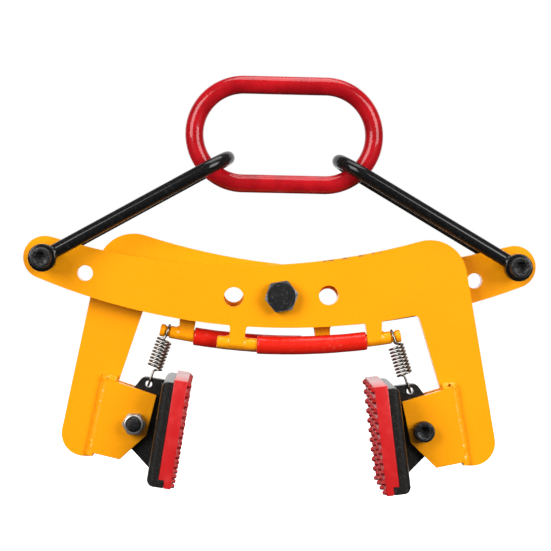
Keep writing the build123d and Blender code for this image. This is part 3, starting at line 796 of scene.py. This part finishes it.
def lockNut(flats, high, size):
    bore, lip = size / 2 + lock["play"], size / 2 + lock["lip"]
    circle, shelf = flats * lock["circle"] / 2, high * lock["hexShare"]
    side, wall = hexRadius(flats, 0.0, lock["trim"]), circle * lock["collar"]
    rows = [(bore, lock["mouth"]), (bore + lock["mouth"], 0), (circle, 0),
            (side, crownAt(side, circle, 0, -1, lock["slope"])),
            (side, crownAt(side, circle, shelf, 1, lock["slope"])), (circle, shelf), (wall, shelf + lock["step"])]
    rows += [(wall - inset, high - drop) for inset, drop in lock["crown"]]
    rows += [(lip + out, high - drop) for out, drop in lock["pocket"]]
    return turned(rows + [(bore, high - lock["pocket"][-1][1])], lock["around"], True)


def lockInsert(high, size):  # the dark ring that grips the thread
    return turned([(size / 2 + out, high - drop) for out, drop in insert["ring"]], insert["around"], True)


def rightTwin(node):  # the left pad's fasteners are the right pad's, turned
    return node.replace("left_pad", "right_pad")


def onLine(bm, node, seat, suffix, slot, turn, sharpAngle=32):  # put on its bolt's line, seat in millimetres along y
    low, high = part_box(rightTwin(node))
    middle = (low + high) / 2
    place = Matrix.Translation((middle.x, seat * mm, middle.z)) @ Matrix.Scale(mm, 4)
    bm.transform(halfTurn @ place if turn else place)
    return asPiece(node + suffix, toMesh(bm, node), slot, sharpAngle)


for lead in ("left_link", "right_link", "left_pad", "right_pad", "pivot"):
    kind, makeBolt, suffix, sharp = (hinge, hingeBolt, "Hex", 20) if lead == "pivot" else (cap, capBolt, "Cap", 32)
    turn = lead == "left_pad"
    bolt, nut = lead + "_bolt", lead + "_nut"
    low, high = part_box(rightTwin(bolt))
    seat = low.y / mm + kind["head"]
    standFor(onLine(makeBolt(high.y / mm - seat), bolt, seat, suffix, nodeSlot[bolt], turn, sharp), bolt)
    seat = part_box(rightTwin(nut))[0].y / mm
    standFor(onLine(lockNut(kind["flats"], kind["nut"], kind["size"]), nut, seat, "Lock", nodeSlot[nut], turn), nut)
    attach(onLine(lockInsert(kind["nut"], kind["size"]), nut, seat, "Insert", "black_oxide", turn), nodeBody[nut])
print("fasteners made")


# cheek welds: a full round bead from the cheek's face down to the leg, rippled and lumpy at its corner and its foot
seam = {"wide": 5.6, "high": 6.0, "proud": 0.12, "overlap": 0.05, "sink": 0.1, "under": 0.4, "across": 26,
        "over": 1.2, "overLeast": 0.05, "overBare": 3.5, "stride": 0.8, "fan": 30, "lead": 9.4, "past": 3.5,
        "fadeIn": 2.0, "fadeOut": 0.3, "wander": 0.16, "wanderRate": 0.13, "cornerPast": 2.5, "cornerReach": 4,
        "footPast": 12, "footReach": 6, "ripple": 0.28, "pitch": 4.4, "ripples": (0.1, 0.9, 0.15), "bow": 1.1,
        "bowMiddle": 0.45, "drift": 1.3, "lump": 0.75, "lumps": (0.25, 0.75), "lumpRate": (0.23, 0.3),
        "seeds": (1.0, 7.3), "pitOn": "front_arm_outer_weld", "pitPlace": (147.4, -74.4), "pit": 3.2, "pitWide": 1.2}
leg = {"shoulderX": 153.5, "shoulderZ": 61.36, "lean": 11.0, "inset": 30.5, "noseX": -19.0, "noseZ": 24.7,
       "topZ": 38.5, "heelZ": -26.6, "frontY": -14.5, "backY": -2.5}


def lofted(bm, loops):  # walls between neighbouring loops, and a cap at each end
    for low, high in zip(loops, loops[1:]):
        for k in range(len(low)):
            j = (k + 1) % len(low)
            bm.faces.new((low[k], low[j], high[j], high[k]))
    bm.faces.new(loops[0])
    bm.faces.new(loops[-1][::-1])
    bmesh.ops.recalc_face_normals(bm, faces=bm.faces)


def seamStations():  # places along the cheek's welded edge, each with its outward direction and the way gone
    def edge(z):
        run = (leg["shoulderZ"] - z) * math.tan(math.radians(leg["lean"]))
        return Vector((leg["shoulderX"] + run - leg["inset"], z))

    nose = Vector((padBolt["x"] + leg["noseX"], padBolt["z"] + leg["noseZ"]))
    top, heel = edge(padBolt["z"] + leg["topZ"]), edge(padBolt["z"] + leg["heelZ"])
    start = top + (nose - top).normalized() * seam["lead"]
    along = (top - start).normalized()
    down = (heel - top).normalized()
    first, last = Vector((-along.y, along.x)), Vector((-down.y, down.x))
    stations = []
    count = int(seam["lead"] / seam["stride"])
    for i in range(count):
        s = seam["lead"] * i / count
        stations.append((start + along * s, first, s))
    sweep = first.angle(last)
    for i in range(seam["fan"] + 1):
        a = sweep * i / seam["fan"]
        cos, sin = math.cos(a), math.sin(a)
        turn = Vector((first.x * cos + first.y * sin, -first.x * sin + first.y * cos))
        stations.append((top, turn, seam["lead"] + a * seam["wide"] / 2))
    gone = stations[-1][2]
    length = (heel - top).length + seam["past"]
    count = int(length / seam["stride"])
    for i in range(1, count + 1):
        s = length * i / count
        stations.append((top + down * s, last, gone + s))
    return stations


def seamRamp(node, seed):
    outer = "outer" in node
    pit = Vector(seam["pitPlace"]) if node == seam["pitOn"] else None
    stations = seamStations()
    whole, corner = stations[-1][2], seam["lead"] + seam["cornerPast"]
    bm = bmesh.new()
    # the pit's mask, which the yellow paint reads to put painted shade in the pit
    hollow = bm.verts.layers.float.new("hollow")
    loops = []
    for base, out, s in stations:
        end = min(s / seam["fadeIn"], (whole - s) / seam["fadeOut"])
        fade = 1.0 if end > 1 else end * end * (3 - 2 * end)
        wobble = noise.noise(Vector((s * seam["wanderRate"], seed, 0)))
        wide = seam["wide"] * (1 + seam["wander"] * wobble)
        near = math.exp(-((s - corner) / seam["cornerReach"]) ** 2)
        low = math.exp(-((whole - s - seam["footPast"]) / seam["footReach"]) ** 2)
        over = min(seam["over"], max(seam["overLeast"], abs(s - corner) - seam["overBare"]))
        ripples = seam["ripples"][0] + seam["ripples"][1] * near + seam["ripples"][2] * low
        lumps = seam["lumps"][0] + seam["lumps"][1] * low
        loop = []
        for k in range(seam["across"] + 1):
            u = -over + (wide + over) * math.sin(math.pi / 2 * k / seam["across"])
            t = max(0.0, u / wide)
            crest = 4 * t * (1 - t) if t < 1 else 0.0
            bow = seam["bow"] * (t - seam["bowMiddle"]) ** 2
            wave = math.sin(2 * math.pi * (s / seam["pitch"] + bow + seam["drift"] * wobble))
            lump = noise.noise(Vector((s * seam["lumpRate"][0], u * seam["lumpRate"][1], seed)))
            place = base + out * u
            dip = math.exp(-((place - pit).length / seam["pitWide"]) ** 2) if pit else 0.0
            h = (seam["high"] + seam["proud"]) * math.sqrt(max(0.0, 1 - t * t)) * fade
            h += seam["ripple"] * fade * crest * ripples * wave
            h += fade * crest * (seam["lump"] * near + lumps * lump)
            h -= seam["pit"] * dip
            if k == 0:
                h = (seam["high"] - seam["overlap"]) * fade - seam["sink"]
            if k == seam["across"]:
                h = -seam["sink"]
            loop.append((place, h, dip))
        loop += [(loop[-1][0], -seam["under"], 0.0), (loop[0][0], -seam["under"], 0.0)]
        loops.append([])
        for place, h, dip in loop:
            loops[-1].append(bm.verts.new((place.x, -h, place.y)))
            loops[-1][-1][hollow] = dip
    lofted(bm, loops)
    flip = Matrix.Identity(4) if outer else Matrix.Scale(-1, 4, (0, 1, 0))
    seat = fromPivot(0, leg["frontY"] if outer else leg["backY"], 0)
    place = Matrix.Translation(seat) @ Matrix.Scale(mm, 4) @ flip
    bm.transform(halfTurn @ place if node.startswith("back") else place)
    if not outer:
        bmesh.ops.reverse_faces(bm, faces=bm.faces)
    return asPiece(node + "Ramp", toMesh(bm, node), "yellow_paint", sharpAngle=60)


welds = ("front_arm_outer_weld", "front_arm_inner_weld", "back_arm_outer_weld", "back_arm_inner_weld")
for number, node in enumerate(welds):
    standFor(seamRamp(node, number * seam["seeds"][1] + seam["seeds"][0]), node)
print("cheek welds made")


# welds where the rest bars go through their tabs, and where the ribs stand on the pads' backings
foot = {"tabs": ((-44.0, -32.0), (76.0, 88.0)), "reach": ((6.0, 4.0), (0.4, 4.0)), "inside": 5.4, "front": 0.65,
        "top": 2.4, "fall": 50.0, "lump": 0.25, "lumpRate": 0.35, "lumpTurn": 3, "lumpApart": 5, "step": 0.5,
        "around": 40}
bead = {"ribX": -19.0, "ribY": 5.1, "ribRuns": ((-37.0, 6.0), (33.5, 40.3)), "thick": 1.7, "sides": 12, "step": 1.2,
        "taper": 3, "least": 0.35, "lump": 0.3, "lumpsPerMetre": 400}


def tabFoot(arm, number):
    (left, right), (before, after) = foot["tabs"][number], foot["reach"][number]
    length = right - left + before + after
    count = int(length / foot["step"])
    bm = bmesh.new()
    loops = []
    for i in range(count + 1):
        x = left - before + length * i / count
        far = max((left - x) / before, (x - right) / after, 0.0)
        centre = Vector((x, plateY, barHeight(x)))
        loops.append([])
        for k in range(foot["around"]):
            a = 2 * math.pi * k / foot["around"]  # from the bar's top
            cos, sin = math.cos(a), math.sin(a)
            under = math.degrees(abs(math.atan2(sin, cos))) - 90
            fall = max(0.0, min(1.0, under / foot["fall"]))
            thick = foot["front"] + (foot["top"] - foot["front"]) * max(0.0, cos) ** 2
            swell = thick * (1 - fall * fall * (3 - 2 * fall)) * (1 - far) ** 2
            spot = (x * foot["lumpRate"], foot["lumpTurn"] * sin + foot["lumpApart"] * number, foot["lumpTurn"] * cos)
            r = foot["inside"] + swell * (1 + foot["lump"] * noise.noise(Vector(spot)))
            loops[-1].append(bm.verts.new(fromPivot(x, centre.y + r * sin, centre.z + r * cos)))
    lofted(bm, loops)
    if arm == "back":
        bm.transform(halfTurn)
    return asPiece(arm + "TabFoot" + str(number), toMesh(bm, arm + "TabFoot"), "yellow_paint")


for arm in ("front", "back"):
    for number in range(len(foot["tabs"])):
        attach(tabFoot(arm, number), arm + "_arm")


def ribBead(side, number, y, low, high):
    points, radii = [], []
    count = int((high - low) / bead["step"])
    for i in range(count + 1):
        z = low + (high - low) * i / count
        point = onPad(side) @ Vector((bead["ribX"], y, z))
        end = min(1.0, min(i, count - i) / bead["taper"] + bead["least"])
        lump = bead["lump"] * noise.noise(point * bead["lumpsPerMetre"])
        points.append(point)
        radii.append((bead["thick"] * end + lump) * mm)
    return sweptPiece(side + "RibBead" + str(number), points, radii, "backing_black", bead["sides"])


for side in ("left", "right"):
    for number, (low, high) in enumerate(bead["ribRuns"] * 2):
        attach(ribBead(side, number, bead["ribY"] * (1 if number < 2 else -1), low, high), side + "_pad")
print("beads made")


# camera, lights and floor
shot = {"place": (-0.045, -1.573, -0.119), "turn": (88.5855, -1.2577, -1.4246), "sensor": 36.0,
        "focal": 1800 / 551, "far": 40.0}  # focal length as a share of the picture's width
studio = {"floorDrop": 0.18, "floor": 6.0, "floorSides": 96, "floorTone": 0.8, "glow": (0.72, 1.0),
          "glowReach": (0.5, 1.6), "dome": 12.0, "white": 1.0, "sky": 0.07,
          "boxes": (("key", (-1.4, -1.6, 0.55), (1.3, 1.3), 47.0), ("fill", (1.4, -1.6, 0.5), (1.3, 1.3), 46.0),
                    ("top", (0.1, -0.1, 1.5), (1.2, 1.2), 22.0), ("back", (0.0, 2.2, 0.5), (6.0, 3.0), 62.0))}
camera = bpy.data.objects.new("camera", bpy.data.cameras.new("camera"))
camera.data.sensor_width = shot["sensor"]
camera.data.lens = shot["sensor"] * shot["focal"]
camera.data.clip_end = shot["far"]
camera.location = shot["place"]
camera.rotation_euler = [math.radians(a) for a in shot["turn"]]
scene.collection.objects.link(camera)
scene.camera = camera
scene.view_settings.view_transform = "Standard"


def whiteStage(name, bm, tone):
    mesh = toMesh(bm, name)
    stage = bpy.data.objects.new(name, mesh)
    scene.collection.objects.link(stage)
    paper = Finish(name, {"Base Color": (tone, tone, tone), "Roughness": 0.9, "Specular IOR Level": 0.0,
                          "Emission Color": (1, 1, 1), "Emission Strength": studio["white"]})
    mesh.materials.append(paper.material)
    return stage, paper


bm = bmesh.new()
bmesh.ops.create_circle(bm, cap_ends=True, segments=studio["floorSides"], radius=studio["floor"],
                        matrix=Matrix.Translation((0, 0, cadBox[0].z - studio["floorDrop"])))
floor, paper = whiteStage("paleFloor", bm, studio["floorTone"])
away = paper.node("ShaderNodeVectorMath", {"operation": "LENGTH"}, {0: paper.place}, out="Value")
nearGlow, farGlow = studio["glow"]
glow = paper.step(away, *studio["glowReach"]) * (farGlow - nearGlow) + nearGlow
paper.wear(glow=paper.node("ShaderNodeCombineColor", None, {0: glow, 1: glow, 2: glow}))
floor.visible_diffuse = floor.visible_glossy = False
bm = bmesh.new()
bmesh.ops.create_icosphere(bm, subdivisions=4, radius=studio["dome"])
backdrop = whiteStage("backdrop", bm, 0)[0]
backdrop.visible_diffuse = backdrop.visible_glossy = backdrop.visible_shadow = backdrop.visible_transmission = False
world = bpy.data.worlds.new("studio")
scene.world = world
world.use_nodes = True
world.node_tree.nodes["Background"].inputs["Color"].default_value = (1, 1, 1, 1)
world.node_tree.nodes["Background"].inputs["Strength"].default_value = studio["sky"]
target = (cadBox[0] + cadBox[1]) / 2
for name, place, size, power in studio["boxes"]:
    box = bpy.data.objects.new(name, bpy.data.lights.new(name, "AREA"))
    box.data.shape, box.data.energy = "RECTANGLE", power
    box.data.size, box.data.size_y = size
    box.location = place
    box.visible_camera = False
    box.rotation_euler = (target - box.location).to_track_quat("-Z", "Y").to_euler()
    scene.collection.objects.link(box)
